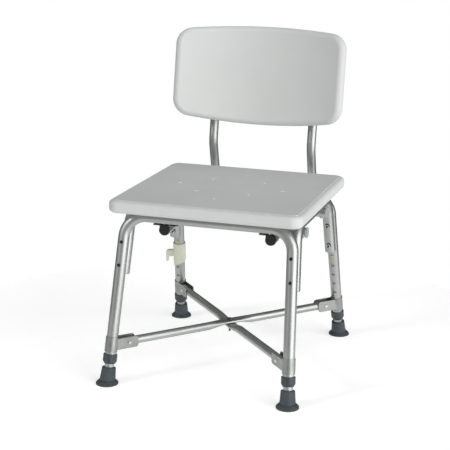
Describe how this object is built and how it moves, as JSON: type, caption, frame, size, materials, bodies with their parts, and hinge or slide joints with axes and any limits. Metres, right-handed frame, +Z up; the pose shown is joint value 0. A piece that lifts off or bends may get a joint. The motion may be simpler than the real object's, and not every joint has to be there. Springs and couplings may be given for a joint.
{
  "type": "shower chair",
  "caption": "Bath shower chair with a moulded seat and backrest on a bent tube frame, height-adjustable legs, crossed brace, rubber feet and a clip-on shower head holder.",
  "frame": {"origin": "centre of the chair's box on the floor, under the seat", "axes": "+Z up, front of the chair towards -Y, +X to the viewer's right when facing the front"},
  "size_m": [0.5482, 0.6607, 0.8786],
  "materials": {
    "white_polyethylene": "blow-moulded polyethylene, fine satin grain",
    "anodised_tube": "satin anodised tube, fine draw lines",
    "pressed_bracket": "pressed sheet, satin",
    "zinc_steel": "zinc plated",
    "black_oxide_steel": "black oxide on steel",
    "black_washer": "black nylon",
    "black_cap_plastic": "black moulded cap",
    "grey_plug_plastic": "grey moulded plug",
    "slate_plastic": "slate grey moulded nylon",
    "slate_rubber": "slate grey moulded rubber",
    "brass_button": "brass, worn",
    "spring_steel": "blued spring strip",
    "ivory_plastic": "ivory moulded plastic"
  },
  "bodies": {
    "chair_frame": {"seat_panel": "white_polyethylene", "backrest_panel": "white_polyethylene", "back_tube_left": "anodised_tube", "back_tube_right": "anodised_tube", "back_tube_caps": "black_cap_plastic", "front_leg_frame": "anodised_tube", "rear_leg_frame": "anodised_tube", "side_rail_left": "anodised_tube", "side_rail_right": "anodised_tube", "rail_end_plugs": "grey_plug_plastic", "cross_tube_front": "anodised_tube", "cross_tube_rear": "anodised_tube", "cross_tube_caps": "grey_plug_plastic", "strap_screws": "zinc_steel", "leg_bolts": "black_oxide_steel", "leg_bolt_nuts": "zinc_steel", "leg_bolt_washers": "black_washer", "seat_bolts": "zinc_steel", "backrest_screws": "zinc_steel", "brace_upper": "anodised_tube", "brace_lower": "anodised_tube", "brace_centre_bolt": "black_washer", "brace_centre_nut": "zinc_steel", "brace_rivets": "zinc_steel", "saddle_strap_front_left": "pressed_bracket", "brace_bracket_front_left": "pressed_bracket", "leg_collar_front_left": "slate_plastic", "saddle_strap_front_right": "pressed_bracket", "brace_bracket_front_right": "pressed_bracket", "leg_collar_front_right": "slate_plastic", "saddle_strap_rear_left": "pressed_bracket", "brace_bracket_rear_left": "pressed_bracket", "leg_collar_rear_left": "slate_plastic", "saddle_strap_rear_right": "pressed_bracket", "brace_bracket_rear_right": "pressed_bracket", "leg_collar_rear_right": "slate_plastic"},
    "leg_extension_front_left": {"leg_extension_front_left": "anodised_tube", "rubber_foot_front_left": "slate_rubber", "snap_spring_front_left": "spring_steel"},
    "snap_button_front_left": {"snap_button_front_left": "brass_button"},
    "leg_extension_front_right": {"leg_extension_front_right": "anodised_tube", "rubber_foot_front_right": "slate_rubber", "snap_spring_front_right": "spring_steel"},
    "snap_button_front_right": {"snap_button_front_right": "brass_button"},
    "leg_extension_rear_left": {"leg_extension_rear_left": "anodised_tube", "rubber_foot_rear_left": "slate_rubber", "snap_spring_rear_left": "spring_steel"},
    "snap_button_rear_left": {"snap_button_rear_left": "brass_button"},
    "leg_extension_rear_right": {"leg_extension_rear_right": "anodised_tube", "rubber_foot_rear_right": "slate_rubber", "snap_spring_rear_right": "spring_steel"},
    "snap_button_rear_right": {"snap_button_rear_right": "brass_button"},
    "shower_holder": {"shower_holder": "ivory_plastic"}
  },
  "joints": [
    {"name": "leg_height_front_left", "type": "slide", "parent": "chair_frame", "child": "leg_extension_front_left", "axis": [-0.0459, -0.2118, -0.9762], "range_m": [0, 0.1144], "deforming": ["snap_button_front_left", "snap_spring_front_left"]},
    {"name": "snap_button_press_front_left", "type": "slide", "parent": "leg_extension_front_left", "child": "snap_button_front_left", "axis": [0.0099, -0.9773, 0.2116], "range_m": [0, 0.0043], "stiffness_N_per_m": 900, "deforming": ["snap_spring_front_left"]},
    {"name": "leg_height_front_right", "type": "slide", "parent": "chair_frame", "child": "leg_extension_front_right", "axis": [0.0459, -0.2118, -0.9762], "range_m": [0, 0.1144], "deforming": ["snap_button_front_right", "snap_spring_front_right"]},
    {"name": "snap_button_press_front_right", "type": "slide", "parent": "leg_extension_front_right", "child": "snap_button_front_right", "axis": [-0.0099, -0.9773, 0.2116], "range_m": [0, 0.0043], "stiffness_N_per_m": 900, "deforming": ["snap_spring_front_right"]},
    {"name": "leg_height_rear_left", "type": "slide", "parent": "chair_frame", "child": "leg_extension_rear_left", "axis": [-0.0459, 0.2118, -0.9762], "range_m": [0, 0.1144], "deforming": ["snap_button_rear_left", "snap_spring_rear_left"]},
    {"name": "snap_button_press_rear_left", "type": "slide", "parent": "leg_extension_rear_left", "child": "snap_button_rear_left", "axis": [0.0099, 0.9773, 0.2116], "range_m": [0, 0.0043], "stiffness_N_per_m": 900, "deforming": ["snap_spring_rear_left"]},
    {"name": "leg_height_rear_right", "type": "slide", "parent": "chair_frame", "child": "leg_extension_rear_right", "axis": [0.0459, 0.2118, -0.9762], "range_m": [0, 0.1144], "deforming": ["snap_button_rear_right", "snap_spring_rear_right"]},
    {"name": "snap_button_press_rear_right", "type": "slide", "parent": "leg_extension_rear_right", "child": "snap_button_rear_right", "axis": [-0.0099, 0.9773, 0.2116], "range_m": [0, 0.0043], "stiffness_N_per_m": 900, "deforming": ["snap_spring_rear_right"]},
    {"name": "shower_holder_swivel", "type": "hinge", "parent": "chair_frame", "child": "shower_holder", "pos_m": [-0.23413, 0.23133, 0.21], "axis": [0.0459, -0.2118, 0.9762], "continuous": true}
  ]
}
